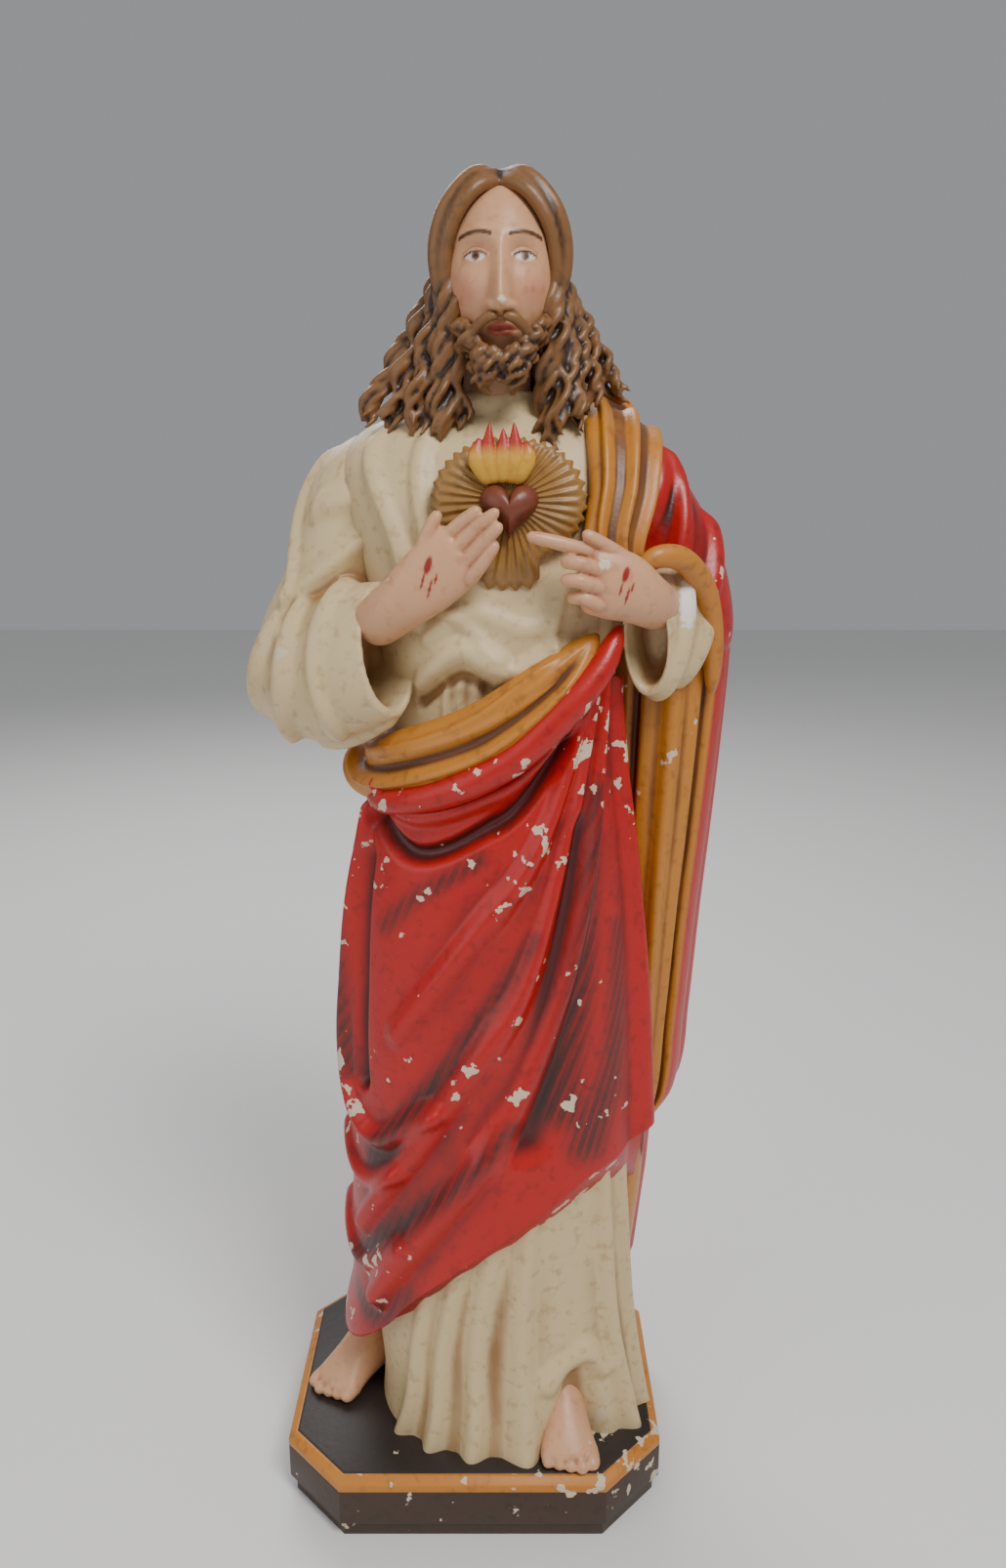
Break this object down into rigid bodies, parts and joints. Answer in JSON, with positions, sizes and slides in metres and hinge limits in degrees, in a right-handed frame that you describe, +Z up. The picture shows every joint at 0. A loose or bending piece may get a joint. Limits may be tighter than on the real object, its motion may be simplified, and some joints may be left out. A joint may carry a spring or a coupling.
{
  "type": "religious statue",
  "caption": "Painted plaster statue of a robed, bearded standing figure with a heart on the chest, cast in one with its eight-sided plinth.",
  "frame": {"origin": "centre of the plinth's underside", "axes": "+Z up the statue, the figure faces -Y, +X to the viewer's right"},
  "size_m": [0.19, 0.13, 0.535],
  "materials": {
    "red_paint": "satin painted plaster",
    "ochre_paint": "satin painted plaster",
    "cream_paint": "satin painted plaster",
    "skin_paint": "satin painted plaster",
    "hair_paint": "satin painted plaster",
    "gold_paint": "dull gold paint",
    "plinth_paint": "worn black paint with a gold-orange edge"
  },
  "bodies": {
    "root": {"statue": "red_paint"}
  },
  "joints": []
}
